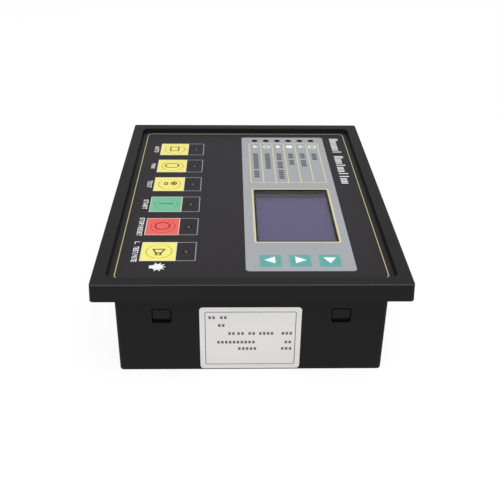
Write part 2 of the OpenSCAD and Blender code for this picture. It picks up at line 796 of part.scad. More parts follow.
// Plug of one strip, with its screws and wire entries to the rear
module terminal_plug(strip) {
    half = plug_w / 2;
    color([0.2, 0.55, 0.3]) difference() {
        translate([strip[1] - strip_len(strip[0]) / 2, strip[2], 0]) rotate([90, 0, 90])
            linear_extrude(strip_len(strip[0]))
                polygon([[-half, plug_inset + plug_bevel], [-half + plug_bevel, plug_inset],
                    [half - plug_bevel, plug_inset], [half, plug_inset + plug_bevel],
                    [half, z_plug_shoulder], [nose_w / 2, z_plug_shoulder], [nose_w / 2, z_nose],
                    [-nose_w / 2, z_nose], [-nose_w / 2, z_plug_shoulder], [-half, z_plug_shoulder]]);
        for (i = [0 : strip[0] - 1]) translate([pole_x(strip, i), strip[2], 0]) {
            translate([0, entry_y, 0]) block(wire_w, wire_w, plug_inset - cut, plug_inset + wire_d);
            translate([0, -entry_y, 0]) rod(terminal_screw_d + hole_gap, plug_inset - cut,
                plug_inset + terminal_screw_sink + terminal_screw_l);
            block(pin_w + 2 * hole_gap, pin_w + 2 * hole_gap,
                z_header_floor - pin_len - hole_gap, z_nose + cut);
        }
    }
}

module header_pins() {
    color([0.8, 0.8, 0.8])
        for (s = strips) for (i = [0 : s[0] - 1]) translate([pole_x(s, i), s[2], 0])
            block(pin_w, pin_w, z_header_floor - pin_len, z_io_back);
}

module terminal_screws() {
    z_face = plug_inset + terminal_screw_sink;
    color([0.75, 0.75, 0.77])
        for (s = strips) for (i = [0 : s[0] - 1]) translate([pole_x(s, i), s[2] - entry_y, 0]) difference() {
            rod(terminal_screw_d, z_face, z_face + terminal_screw_l);
            block(terminal_screw_d + cut, slot_w, z_face - cut, z_face + slot_d);
        }
}

module switch_bodies() {
    color([0.1, 0.1, 0.1]) at(concat(key_places, arrow_places)) difference() {
        block(switch_w, switch_w, z_main, z_switch);
        rod(stem_d + 2 * slide_gap, z_bore, z_switch + cut);
    }
}

// Plunger of one key: a round head in the panel's hole on a stem in its switch
module plunger(place, head_d) {
    color([0.85, 0.85, 0.83]) translate([place[0], place[1], 0]) {
        rod(head_d, z_head - head_len, z_head);
        rod(stem_d, z_stem, z_head);
    }
}

// Lamp with a round tip, a flange and two leads down to the main board
module lamp() {
    rod(lamp_d, z_lamp_base, z_lamp_base + lamp_len - lamp_d / 2);
    translate([0, 0, z_lamp_base + lamp_len - lamp_d / 2]) sphere(d = lamp_d);
    rod(lamp_flange_d, z_lamp_base, z_lamp_base + lamp_flange_t);
    for (s = [-1, 1]) translate([s * lead_pitch / 2, 0, 0]) block(lead_w, lead_w, z_main, z_lamp_base);
}

module alarm_leds() {
    color([0.25, 0.05, 0.05]) at(alarm_places) lamp();
}

module key_leds() {
    color([0.3, 0.3, 0.3]) at(key_lamp_places) lamp();
}

module led_spacers() {
    color([0.9, 0.9, 0.88]) at(concat(alarm_places, key_lamp_places)) difference() {
        rod(lamp_tube_d, z_main, z_lamp_base);
        rod(lamp_tube_d - 2 * lamp_tube_t, z_main - cut, z_lamp_base + cut);
    }
}

front_bezel();
overlay_film();
display_window();
panel_gasket();
rear_case();
side_label();
lcd_frame();
lcd_glass();
lcd_backlight();
lcd_board();
lcd_pin_header();
lcd_spacers();
main_board();
board_chips();
cell_holder();
clock_cell();
clock_crystal();
link_header();
board_pillars();
board_screws();
io_board();
relays();
supply_capacitors();
supply_inductor();
sense_transformers();
terminal_header(output_strip);  // output_header
terminal_header(input_strip);  // input_header
terminal_header(phase_strip);  // phase_header
terminal_header(current_strip);  // current_header
header_pins();
terminal_plug(output_strip);  // output_plug
terminal_plug(input_strip);  // input_plug
terminal_plug(phase_strip);  // phase_plug
terminal_plug(current_strip);  // current_plug
terminal_screws();
switch_bodies();
plunger(key_places[0], key_head_d);  // auto_key
plunger(key_places[1], key_head_d);  // manual_key
plunger(key_places[2], key_head_d);  // test_key
plunger(key_places[3], key_head_d);  // start_key
plunger(key_places[4], key_head_d);  // stop_key
plunger(key_places[5], key_head_d);  // mute_key
plunger(arrow_places[0], arrow_head_d);  // right_key
plunger(arrow_places[1], arrow_head_d);  // up_key
plunger(arrow_places[2], arrow_head_d);  // down_key
alarm_leds();
key_leds();
led_spacers();
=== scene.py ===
import math

import bpy
from mathutils import Matrix, Vector


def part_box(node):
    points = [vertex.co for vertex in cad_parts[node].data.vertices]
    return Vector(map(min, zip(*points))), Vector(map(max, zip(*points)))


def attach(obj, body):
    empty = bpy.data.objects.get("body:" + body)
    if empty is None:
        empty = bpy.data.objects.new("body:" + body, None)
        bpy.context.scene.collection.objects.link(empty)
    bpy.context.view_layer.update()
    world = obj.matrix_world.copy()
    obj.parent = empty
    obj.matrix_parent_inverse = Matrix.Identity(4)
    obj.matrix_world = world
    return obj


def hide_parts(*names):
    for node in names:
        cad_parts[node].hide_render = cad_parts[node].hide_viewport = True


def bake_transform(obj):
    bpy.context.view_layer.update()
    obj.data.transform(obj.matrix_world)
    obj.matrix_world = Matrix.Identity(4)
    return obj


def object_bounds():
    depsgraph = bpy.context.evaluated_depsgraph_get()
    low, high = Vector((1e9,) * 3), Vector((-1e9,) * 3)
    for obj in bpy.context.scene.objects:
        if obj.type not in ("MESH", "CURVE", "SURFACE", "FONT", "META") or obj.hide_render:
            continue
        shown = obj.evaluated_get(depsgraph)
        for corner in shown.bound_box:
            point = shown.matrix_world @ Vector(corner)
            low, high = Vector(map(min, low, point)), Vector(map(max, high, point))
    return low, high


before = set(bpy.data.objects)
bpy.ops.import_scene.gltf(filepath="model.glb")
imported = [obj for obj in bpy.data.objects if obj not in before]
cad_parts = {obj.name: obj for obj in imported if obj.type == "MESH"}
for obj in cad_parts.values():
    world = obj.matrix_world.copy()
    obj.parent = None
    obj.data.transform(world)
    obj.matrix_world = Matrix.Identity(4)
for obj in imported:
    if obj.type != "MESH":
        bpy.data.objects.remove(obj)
cad_low, cad_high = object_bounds()

# Camera
# The controller lies on its back and is seen from its right side, from 30 degrees up,
# with a short telephoto lens close to it, so the far end of the bezel narrows strongly.
camera_place = Vector((0.3941, -0.0099, 0.2454))
camera_elevation = math.radians(30.17)
camera_azimuth = math.radians(-1.64)
camera_roll = math.radians(0.765)
camera_back = Vector((
    math.cos(camera_elevation) * math.cos(camera_azimuth),
    math.cos(camera_elevation) * math.sin(camera_azimuth),
    math.sin(camera_elevation),
))
camera_data = bpy.data.cameras.new("camera")
camera_data.lens = 55.62
camera_data.sensor_width = 36.0
camera_data.clip_start = 0.01
camera = bpy.data.objects.new("camera", camera_data)
camera_aim = (-camera_back).to_track_quat("-Z", "Y").to_matrix().to_4x4()
camera_tilt = Matrix.Rotation(camera_roll, 4, "Z")
camera.matrix_world = Matrix.Translation(camera_place) @ camera_aim @ camera_tilt
bpy.context.scene.collection.objects.link(camera)
bpy.context.scene.camera = camera
bpy.context.scene.view_settings.view_transform = "Standard"

# Backdrop
# A white table top and a white room: both are white to the lens and to mirrors, and
# the table keeps a soft shadow because part of its white is the light that falls on it.


def hex_linear(text):
    """Linear colour of an sRGB hex value."""
    parts = [int(text[i:i + 2], 16) / 255 for i in (1, 3, 5)]
    linear = [p / 12.92 if p <= 0.04045 else ((p + 0.055) / 1.055) ** 2.4 for p in parts]
    return (*linear, 1.0)


def add_node(tree, kind, inputs=None, **settings):
    """Adds a node with its settings, and sets or links its inputs."""
    made = tree.nodes.new(kind)
    for name, value in settings.items():
        setattr(made, name, value)
    for name, value in (inputs or {}).items():
        if isinstance(value, bpy.types.NodeSocket):
            tree.links.new(value, made.inputs[name])
        else:
            made.inputs[name].default_value = value
    return made


def empty_tree(owner):
    """The owner's node tree, cleared."""
    owner.use_nodes = True
    owner.node_tree.nodes.clear()
    return owner.node_tree


def sight_rays(tree):
    """1 for rays from the lens, from mirrors and through glass, 0 for the rest."""
    path = add_node(tree, "ShaderNodeLightPath").outputs
    seen = add_node(tree, "ShaderNodeMath", {0: path["Is Camera Ray"], 1: path["Is Glossy Ray"]},
                    operation="MAXIMUM")
    both = add_node(tree, "ShaderNodeMath", {0: seen.outputs[0], 1: path["Is Transmission Ray"]},
                    operation="MAXIMUM")
    return both.outputs[0]


room_light = 0.5
world = bpy.data.worlds.new("white_room")
bpy.context.scene.world = world
world_tree = empty_tree(world)
room_strength = add_node(world_tree, "ShaderNodeMapRange",
                         {"Value": sight_rays(world_tree), "To Min": room_light, "To Max": 1.0})
room_white = add_node(world_tree, "ShaderNodeBackground",
                      {"Color": hex_linear("#ffffff"), "Strength": room_strength.outputs[0]})
add_node(world_tree, "ShaderNodeOutputWorld", {"Surface": room_white.outputs[0]})

table_span = 8.0
table_brightness = 1.05
shadow_share = 0.14
bpy.ops.object.select_all(action="DESELECT")
bpy.ops.mesh.primitive_plane_add(size=table_span)
table_top = bpy.context.object
table_top.name = "table_top"
table_white = bpy.data.materials.new("white_table_laminate")
table_tree = empty_tree(table_white)
table_lit = add_node(table_tree, "ShaderNodeBsdfDiffuse", {"Color": hex_linear("#f2f2f2")})
table_glow = add_node(table_tree, "ShaderNodeEmission",
                      {"Color": hex_linear("#ffffff"), "Strength": table_brightness})
table_share = add_node(table_tree, "ShaderNodeMath",
                       {0: sight_rays(table_tree), 1: 1.0 - shadow_share}, operation="MULTIPLY")
table_mix = add_node(table_tree, "ShaderNodeMixShader",
                     {0: table_share.outputs[0], 1: table_lit.outputs[0], 2: table_glow.outputs[0]})
add_node(table_tree, "ShaderNodeOutputMaterial", {"Surface": table_mix.outputs[0]})
table_top.data.materials.append(table_white)


def soft_light(name, place, target, size, power):
    """A square soft box that faces the target."""
    data = bpy.data.lights.new(name, "AREA")
    data.size = size
    data.energy = power
    lamp = bpy.data.objects.new(name, data)
    lamp.location = place
    lamp.rotation_euler = (Vector(target) - Vector(place)).to_track_quat("-Z", "Y").to_euler()
    bpy.context.scene.collection.objects.link(lamp)


overhead_place = (0.15, 0.25, 1.1)
front_place = (1.0, -0.35, 0.5)
middle = (cad_low + cad_high) / 2
soft_light("overhead_soft_box", overhead_place, middle, size=0.9, power=6.5)
soft_light("front_soft_box", front_place, middle, size=0.7, power=4.2)

# Rear case and front bezel
# Both are injection mouldings in black ABS. Their tools have a fine spark texture, so
# both are a dull black, the bezel a shade lighter than the case.
mm = 0.001
smooth_edge = 0.5 * mm
smooth_start = 0.03 * mm
bezel_specular = 0.15
edge_specular = 0.6
gloss_spread = 0.06
relief_strength = 0.6
cloud_size = 40.0 * mm


def paint(names, material):
    """Gives a material to CAD nodes."""
    for name in names:
        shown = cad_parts[name]
        shown.data.materials.clear()
        shown.data.materials.append(material)


def matt_solid(name, colour, worn, roughness, specular, grain, depth, cloud=cloud_size):
    """A solid finish: two close shades in soft clouds, and a fine grain in its relief and gloss.

    grain and cloud are the sizes of the two patterns and depth is the height of the grain."""
    material = bpy.data.materials.new(name)
    tree = empty_tree(material)
    place = add_node(tree, "ShaderNodeTexCoord").outputs["Object"]
    grains = add_node(tree, "ShaderNodeTexNoise",
                      {"Vector": place, "Scale": 1.0 / grain, "Detail": 3.0, "Roughness": 0.6})
    clouds = add_node(tree, "ShaderNodeTexNoise",
                      {"Vector": place, "Scale": 1.0 / cloud, "Detail": 2.0})
    shade = add_node(tree, "ShaderNodeMix",
                     {0: clouds.outputs["Fac"], 6: hex_linear(colour), 7: hex_linear(worn)},
                     data_type="RGBA")
    gloss = add_node(tree, "ShaderNodeMapRange",
                     {"Value": grains.outputs["Fac"],
                      "To Min": roughness - gloss_spread, "To Max": roughness + gloss_spread})
    bump = add_node(tree, "ShaderNodeBump",
                    {"Height": grains.outputs["Fac"], "Distance": depth,
                     "Strength": relief_strength})
    surface = add_node(tree, "ShaderNodeBsdfPrincipled",
                       {"Base Color": shade.outputs[2], "Roughness": gloss.outputs[0],
                        "Specular IOR Level": specular, "Normal": bump.outputs[0]})
    add_node(tree, "ShaderNodeOutputMaterial", {"Surface": surface.outputs[0]})
    return material


# Spark-textured ABS is a soft black. The texture is drawn at 0.5 mm so that it shows.
case_abs = matt_solid("black_abs_case", "#0e0d0e", "#141314",
                      roughness=0.6, specular=0.16, grain=0.5 * mm, depth=0.02 * mm)
bezel_abs = matt_solid("black_abs_bezel", "#121113", "#171618",
                       roughness=0.62, specular=bezel_specular, grain=0.5 * mm, depth=0.02 * mm)
# A band along the bezel's top edges has a higher specular level, so the front edge catches the
# light.
bezel_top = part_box("front_bezel")[1].z
bezel_tree = bezel_abs.node_tree
bezel_place = add_node(bezel_tree, "ShaderNodeTexCoord").outputs["Object"]
bezel_height = add_node(bezel_tree, "ShaderNodeSeparateXYZ", {0: bezel_place}).outputs["Z"]
edge_start = add_node(bezel_tree, "ShaderNodeMath",
                      {0: bezel_height, 1: bezel_top - smooth_start}, operation="LESS_THAN")
edge_end = add_node(bezel_tree, "ShaderNodeMath",
                    {0: bezel_height, 1: bezel_top - smooth_edge}, operation="GREATER_THAN")
edge_band = add_node(bezel_tree, "ShaderNodeMath",
                     {0: edge_start.outputs[0], 1: edge_end.outputs[0]}, operation="MULTIPLY")
edge_shine = add_node(bezel_tree, "ShaderNodeMapRange",
                      {"Value": edge_band.outputs[0],
                       "To Min": bezel_specular, "To Max": edge_specular})
bezel_surface = bezel_tree.nodes["Principled BSDF"]
bezel_tree.links.new(edge_shine.outputs[0], bezel_surface.inputs["Specular IOR Level"])
paint(["rear_case"], case_abs)
paint(["front_bezel"], bezel_abs)

# Side label
# A white vinyl label stuck on the right side of the case, with a thin printed frame and
# rows of small dark blocks. A row is its height and the groups in it, each with its left
# end and its number of blocks, in mm from the label's middle.
ink = 0.02 * mm
label_line = 0.35 * mm
label_inset = 2.5 * mm
label_line_corner = 0.8 * mm
label_block = (1.2 * mm, 1.6 * mm)
label_step = 1.9 * mm
corner_steps = 6
label_rows = (
    (12.4, ((-20.2, 2), (-14.6, 2))),
    (7.8, ((-15.6, 2),)),
    (3.0, ((-10.7, 2), (-6.3, 2), (-0.9, 2), (4.2, 4), (15.2, 3))),
    (-2.2, ((-16.1, 10), (16.8, 2))),
    (-6.1, ((-5.9, 5), (15.2, 3))),
)


def choose(made, kind, wanted):
    """Selects the vertices or faces of a mesh that pass a test, and stays in edit mode."""
    bpy.ops.object.mode_set(mode="EDIT")
    bpy.ops.mesh.select_mode(type=kind)
    bpy.ops.mesh.select_all(action="DESELECT")
    bpy.ops.object.mode_set(mode="OBJECT")
    parts = made.data.vertices if kind == "VERT" else made.data.polygons
    for part in parts:
        part.select = wanted(part)
    bpy.ops.object.mode_set(mode="EDIT")


def flat_shape(name, centre, size, low, high,
               sides=4, corner=0.0, line=0.0, turn=0.0, narrow=1.0):
    """A flat shape between two heights: a polygon with round corners, solid or as an outline.

    narrow is the share of its height that a four-sided shape keeps at its right end."""
    bpy.ops.object.select_all(action="DESELECT")
    if sides == 4:
        bpy.ops.mesh.primitive_plane_add(size=1.0)
    else:
        bpy.ops.mesh.primitive_circle_add(vertices=sides, radius=0.5, fill_type="NGON")
    made = bpy.context.object
    made.name = name
    choose(made, "VERT", lambda vertex: vertex.co.x > 0)
    bpy.ops.transform.resize(value=(1.0, narrow, 1.0), center_override=(0.0, 0.0, 0.0))
    bpy.ops.mesh.select_all(action="SELECT")
    bpy.ops.transform.resize(value=(size[0], size[1], 1.0), center_override=(0.0, 0.0, 0.0))
    if corner:
        bpy.ops.mesh.bevel(affect="VERTICES", offset=corner, segments=corner_steps)
        bpy.ops.mesh.select_all(action="SELECT")
    if line:
        bpy.ops.mesh.inset(thickness=line, use_boundary=True)
        bpy.ops.mesh.delete(type="FACE")
        bpy.ops.mesh.select_all(action="SELECT")
    bpy.ops.mesh.extrude_region_move(TRANSFORM_OT_translate={"value": (0.0, 0.0, high - low)})
    bpy.ops.mesh.select_all(action="SELECT")
    bpy.ops.mesh.normals_make_consistent(inside=False)
    bpy.ops.object.mode_set(mode="OBJECT")
    made.location = (centre[0], centre[1], low)
    made.rotation_euler.z = turn
    bpy.ops.object.transform_apply()
    return made


def row_of_blocks(name, start, size, step, count, low, high):
    """A line of like blocks from its left end, made of one block and an array."""
    block = flat_shape(name, (start[0] + size[0] / 2, start[1]), size, low, high)
    repeat = block.modifiers.new("repeat", "ARRAY")
    repeat.count = count
    repeat.use_relative_offset = False
    repeat.use_constant_offset = True
    repeat.constant_offset_displace = (step, 0.0, 0.0)
    bpy.ops.object.modifier_apply(modifier=repeat.name)
    return block


def join(name, parts):
    """Joins meshes into one."""
    bpy.ops.object.select_all(action="DESELECT")
    for part in parts:
        part.select_set(True)
    bpy.context.view_layer.objects.active = parts[0]
    if len(parts) > 1:
        bpy.ops.object.join()
    parts[0].name = name
    return parts[0]


def give(name, parts, body, material):
    """Joins new parts into one piece, with its material and the body that it rides on."""
    piece = join(name, parts)
    piece.data.materials.clear()
    piece.data.materials.append(material)
    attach(piece, body)
    return piece


# Vinyl is smooth and bright, with a slight satin gloss.
label_vinyl = matt_solid("white_label_vinyl", "#dedbdb", "#e3e0e0",
                         roughness=0.45, specular=0.3, grain=0.8 * mm, depth=0.004 * mm)
paint(["side_label"], label_vinyl)
label_low, label_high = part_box("side_label")
label_mid = (label_low + label_high) / 2
label_size = label_high - label_low
frame_size = (label_size.y - 2 * label_inset, label_size.z - 2 * label_inset)
label_frame = flat_shape("frame", (0.0, 0.0), frame_size, 0.0, ink,
                         corner=label_line_corner, line=label_line)
label_marks = []
for height, groups in label_rows:
    for left, count in groups:
        start = (left * mm, height * mm)
        label_marks.append(row_of_blocks("block", start, label_block, label_step, count, 0.0, ink))
label_print = join("label_print", [label_frame] + label_marks)
label_print.matrix_world = Matrix((
    (0.0, 0.0, 1.0, label_high.x),
    (1.0, 0.0, 0.0, label_mid.y),
    (0.0, 1.0, 0.0, label_mid.z),
    (0.0, 0.0, 0.0, 1.0),
))
bpy.ops.object.transform_apply()
# Printed label ink is a flat dark grey.
label_ink = matt_solid("dark_grey_label_ink", "#5b5a5d", "#636265",
                       roughness=0.5, specular=0.3, grain=0.6 * mm, depth=0.004 * mm)
give("label_print", [label_print], "housing", label_ink)

# Gasket
# A closed-cell rubber ring that lies in the groove behind the bezel's flange and
# stands a millimetre proud of it, to seal against the panel.
# Cut cells make the rubber dead matt.
cell_rubber = matt_solid("black_cell_rubber", "#0c0c0d", "#121213", roughness=0.9, specular=0.15,
                         grain=0.9 * mm, depth=0.08 * mm, cloud=12.0 * mm)
paint(["panel_gasket"], cell_rubber)

# Boards and what is on them
# Glass-epoxy boards under green solder mask carry black mouldings, tinned metal,
# brass pillars and nylon spacers. All of it is shut inside the case.
streak_size = 0.3 * mm
streak_spread = 0.1


def streaked_metal(name, colour, roughness):
    """Plated or turned metal with fine streaks in its gloss."""
    material = bpy.data.materials.new(name)
    tree = empty_tree(material)
    place = add_node(tree, "ShaderNodeTexCoord").outputs["Object"]
    streaks = add_node(tree, "ShaderNodeTexNoise",
                       {"Vector": place, "Scale": 1.0 / streak_size, "Detail": 4.0})
    gloss = add_node(tree, "ShaderNodeMapRange",
                     {"Value": streaks.outputs["Fac"],
                      "To Min": roughness - streak_spread, "To Max": roughness + streak_spread})
    surface = add_node(tree, "ShaderNodeBsdfPrincipled",
                       {"Base Color": hex_linear(colour), "Metallic": 1.0,
                        "Roughness": gloss.outputs[0]})
    add_node(tree, "ShaderNodeOutputMaterial", {"Surface": surface.outputs[0]})
    return material


# Solder mask is a glossy lacquer, potting cases and sleeves are satin, ferrite is dull,
# and plated or turned metal is bright with fine streaks.
solder_mask = matt_solid("green_solder_mask", "#14502f", "#1b5f39",
                         roughness=0.35, specular=0.5, grain=1.0 * mm, depth=0.01 * mm)
black_moulding = matt_solid("black_thermoset", "#161617", "#1d1d1e",
                            roughness=0.5, specular=0.4, grain=0.4 * mm, depth=0.02 * mm)
blue_moulding = matt_solid("blue_potting_case", "#1f3a70", "#26447d",
                           roughness=0.4, specular=0.5, grain=0.5 * mm, depth=0.01 * mm)
natural_nylon = matt_solid("natural_nylon", "#dcdad2", "#e5e3dc",
                           roughness=0.45, specular=0.5, grain=0.6 * mm, depth=0.01 * mm)
shrunk_sleeve = matt_solid("blue_shrunk_sleeve", "#23284d", "#2a305a",
                           roughness=0.3, specular=0.5, grain=0.6 * mm, depth=0.01 * mm)
grey_ferrite = matt_solid("grey_ferrite", "#3a332d", "#453d36",
                          roughness=0.7, specular=0.3, grain=0.3 * mm, depth=0.03 * mm)
zinc_steel = streaked_metal("zinc_plated_steel", "#bdbdc0", roughness=0.35)
turned_brass = streaked_metal("turned_brass", "#cbb883", roughness=0.3)
tinned_brass = streaked_metal("tinned_brass", "#c9c9c6", roughness=0.35)
paint(["main_board", "io_board", "lcd_board"], solder_mask)
paint(["board_chips", "cell_holder", "link_header", "lcd_pin_header"], black_moulding)
paint(["relays", "switch_bodies"], black_moulding)
paint(["sense_transformers"], blue_moulding)
paint(["lcd_spacers", "led_spacers"], natural_nylon)
paint(["supply_capacitors"], shrunk_sleeve)
paint(["supply_inductor"], grey_ferrite)
paint(["clock_cell", "clock_crystal", "board_screws", "terminal_screws"], zinc_steel)
paint(["board_pillars"], turned_brass)
paint(["header_pins"], tinned_brass)

# Terminals
# Green polyamide headers and plugs in two rows, behind windows in the rear wall.
# Glass-filled polyamide is a satin green with a faint mottle.
terminal_green = matt_solid("green_polyamide", "#2d7f49", "#358c52",
                            roughness=0.5, specular=0.4, grain=0.5 * mm, depth=0.015 * mm)
paint(["output_header", "input_header", "phase_header", "current_header"], terminal_green)
paint(["output_plug", "input_plug", "phase_plug", "current_plug"], terminal_green)

# Display
# A monochrome glass display in a black sheet frame, with a milky light guide behind
# it, a violet-blue polariser on its front and a clear acrylic pane above.
polariser_size = (51.3 * mm, 39.8 * mm)
polariser_shift = Vector((0.75 * mm, 0.6 * mm, 0.0))
polariser_t = 0.1 * mm
polariser_corner = 0.4 * mm
haze_size = 6.0 * mm
pane_roughness = (0.05, 0.08)
pane_reflection = (0.01, 0.09)
# Unlit, the display is a deep violet-blue that the pane's reflection turns to grey violet.
frame_black = matt_solid("black_painted_steel", "#1a1a1c", "#202023",
                         roughness=0.45, specular=0.3, grain=0.6 * mm, depth=0.01 * mm)
light_guide = matt_solid("milky_acrylic", "#e4e4e0", "#ececea",
                         roughness=0.3, specular=0.5, grain=1.0 * mm, depth=0.01 * mm)
glass_border = matt_solid("display_glass_border", "#251a2c", "#2a1f31",
                          roughness=0.4, specular=0.12, grain=3.0 * mm, depth=0.002 * mm)
polariser_film = matt_solid("violet_polariser", "#454170", "#4a4675",
                            roughness=0.4, specular=0.12, grain=3.0 * mm, depth=0.002 * mm)
paint(["lcd_frame"], frame_black)
paint(["lcd_backlight"], light_guide)
paint(["lcd_glass"], glass_border)
glass_low, glass_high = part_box("lcd_glass")
glass_mid = (glass_low + glass_high) / 2
polariser = flat_shape("polariser", glass_mid + polariser_shift, polariser_size, glass_high.z,
                       glass_high.z + polariser_t, corner=polariser_corner)
give("display_polariser", [polariser], "housing", polariser_film)

# Cast acrylic with an anti-glare coat is clear. It reflects a little more at a low angle,
# with the coat's faint violet.
clear_pane = bpy.data.materials.new("coated_clear_acrylic")
pane_tree = empty_tree(clear_pane)
pane_place = add_node(pane_tree, "ShaderNodeTexCoord").outputs["Object"]
pane_haze = add_node(pane_tree, "ShaderNodeTexNoise",
                     {"Vector": pane_place, "Scale": 1.0 / haze_size})
pane_gloss = add_node(pane_tree, "ShaderNodeMapRange",
                      {"Value": pane_haze.outputs["Fac"],
                       "To Min": pane_roughness[0], "To Max": pane_roughness[1]})
pane_slant = add_node(pane_tree, "ShaderNodeLayerWeight", {"Blend": 0.5}).outputs["Facing"]
pane_share = add_node(pane_tree, "ShaderNodeMapRange",
                      {"Value": pane_slant,
                       "To Min": pane_reflection[0], "To Max": pane_reflection[1]})
pane_open = add_node(pane_tree, "ShaderNodeBsdfTransparent", {"Color": hex_linear("#f4f4f6")})
pane_shine = add_node(pane_tree, "ShaderNodeBsdfGlossy",
                      {"Color": hex_linear("#fdf3ff"), "Roughness": pane_gloss.outputs[0]})
pane_mix = add_node(pane_tree, "ShaderNodeMixShader",
                    {0: pane_share.outputs[0], 1: pane_open.outputs[0], 2: pane_shine.outputs[0]})
add_node(pane_tree, "ShaderNodeOutputMaterial", {"Surface": pane_mix.outputs[0]})
paint(["display_window"], clear_pane)

# Lamps
# Small round lamps of dark tinted epoxy, which show as black dots while they are off.
# The tips of the key lamps are clear and the alarm lamps have flat, frosted faces.
# Cast epoxy is glossy, so each clear tip has a small highlight, and a frosted face has none.
smoked_epoxy = matt_solid("smoked_epoxy", "#0d0b0c", "#141213",
                          roughness=0.16, specular=0.7, grain=1.0 * mm, depth=0.002 * mm)
frosted_epoxy = matt_solid("frosted_smoked_epoxy", "#090809", "#0e0c0d",
                           roughness=0.6, specular=0.08, grain=1.0 * mm, depth=0.002 * mm)
paint(["key_leds"], smoked_epoxy)
paint(["alarm_leds"], frosted_epoxy)

# Key plungers
# White acetal plungers under the film, one on each switch.
# Acetal is a waxy white.
row_keys = ["auto_key", "manual_key", "test_key", "start_key", "stop_key", "mute_key"]
arrow_keys = ["right_key", "up_key", "down_key"]
white_acetal = matt_solid("white_acetal", "#d9d8d3", "#e2e1dc",
                          roughness=0.4, specular=0.5, grain=0.5 * mm, depth=0.01 * mm)
paint(row_keys + arrow_keys, white_acetal)

# Film sheet
# One sheet of polyester, printed black behind its matt face and glued into the recess.
# It has a window for the display and a hole for each lamp, and its key fields are below.
film_t = 0.25 * mm
film_corner = 3.2 * mm
row_pad = (17.7 * mm, 16.8 * mm)
arrow_pad = (11.2 * mm, 10.6 * mm)
arrow_pad_corner = 0.8 * mm
row_print_shift = Vector((0.0, -0.15 * mm, 0.0))
arrow_print_shift = Vector((0.0, -0.3 * mm, 0.0))
pane_lap = 1.7 * mm
film_lap = 0.8 * mm
film_window_corner = 0.8 * mm
lamp_hole_d = 3.3 * mm
lamp_flange_r = 1.9 * mm
lamp_count = 6
hole_sides = 32
cut_reach = 2.0 * mm
film_low, film_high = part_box("overlay_film")
film_mid = (film_low + film_high) / 2
film_top = film_low.z + film_t
pane_low, pane_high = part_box("display_window")
pane_mid = (pane_low + pane_high) / 2
opening_size = (pane_high.x - pane_low.x - 2 * pane_lap, pane_high.y - pane_low.y - 2 * pane_lap)
window_size = (opening_size[0] - 2 * film_lap, opening_size[1] - 2 * film_lap)
below = film_low.z - cut_reach
above = film_high.z + cut_reach


def middle_of(node):
    """Middle of a CAD node's box."""
    low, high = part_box(node)
    return (low + high) / 2


def print_place(key):
    """Middle of a key's printed field, which lies a little off the middle of its dome."""
    return middle_of(key) + (row_print_shift if key in row_keys else arrow_print_shift)


def combine(target, tool, operation):
    """Cuts the tool out of the target or adds it, and removes the tool."""
    bpy.ops.object.select_all(action="DESELECT")
    target.select_set(True)
    bpy.context.view_layer.objects.active = target
    change = target.modifiers.new("shape", "BOOLEAN")
    change.operation = operation
    change.solver = "EXACT"
    change.object = tool
    bpy.ops.object.modifier_apply(modifier=change.name)
    bpy.data.objects.remove(tool)
    return target


def row_of_lamps(node, along):
    """Middles of the lamps in a row, from the box of their node."""
    low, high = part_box(node)
    first = low[along] + lamp_flange_r
    step = (high[along] - low[along] - 2 * lamp_flange_r) / (lamp_count - 1)
    places = []
    for i in range(lamp_count):
        place = (low + high) / 2
        place[along] = first + i * step
        places.append(place)
    return places


def cutter(centre, size, sides=4, corner=0.0):
    """An upright shape that reaches through the film."""
    return flat_shape("cutter", centre, size, below, above, sides=sides, corner=corner)


def printed_polyester(name, colour, worn):
    """Matt film with print behind its face. Its grain is drawn at 0.35 mm so that it shows."""
    return matt_solid(name, colour, worn,
                      roughness=0.7, specular=0.255, grain=0.35 * mm, depth=0.01 * mm)


alarm_places = row_of_lamps("alarm_leds", 1)
key_lamp_places = row_of_lamps("key_leds", 0)
lamp_hole = (lamp_hole_d, lamp_hole_d)
film_size = film_high - film_low
film_sheet = flat_shape("sheet", film_mid, film_size, film_low.z, film_top, corner=film_corner)
cutters = [cutter(pane_mid, window_size, corner=film_window_corner)]
cutters += [cutter(place, lamp_hole, hole_sides) for place in alarm_places + key_lamp_places]
cutters += [cutter(print_place(key), row_pad) for key in row_keys]
cutters += [cutter(print_place(key), arrow_pad, corner=arrow_pad_corner) for key in arrow_keys]
combine(film_sheet, join("cutter", cutters), "DIFFERENCE")
# Black print behind matt polyester is a soft charcoal black.
black_film = printed_polyester("black_printed_polyester", "#161317", "#1b181c")
give("film_sheet", [film_sheet], "housing", black_film)
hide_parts("overlay_film")

# Key fields
# Where a key lies the film is printed in its colour and embossed with a round dome,
# which sinks with the plunger while the film round it stays flat.
row_dome_r = 6.25 * mm
arrow_dome_r = 4.0 * mm
dome_h = film_high.z - film_top
dome_round = 0.2 * mm
dome_steps = 4
dome_sides = 64
facing_up = 0.9
smooth_angle = math.radians(40.0)


def round_step(name, centre, radius, low, high):
    """A round plate whose side leans in by the height of a dome."""
    bpy.ops.object.select_all(action="DESELECT")
    place = (centre.x, centre.y, (low + high) / 2)
    bpy.ops.mesh.primitive_cone_add(vertices=dome_sides, radius1=radius, radius2=radius - dome_h,
                                    depth=high - low, location=place)
    bpy.ops.object.transform_apply()
    return bpy.context.object


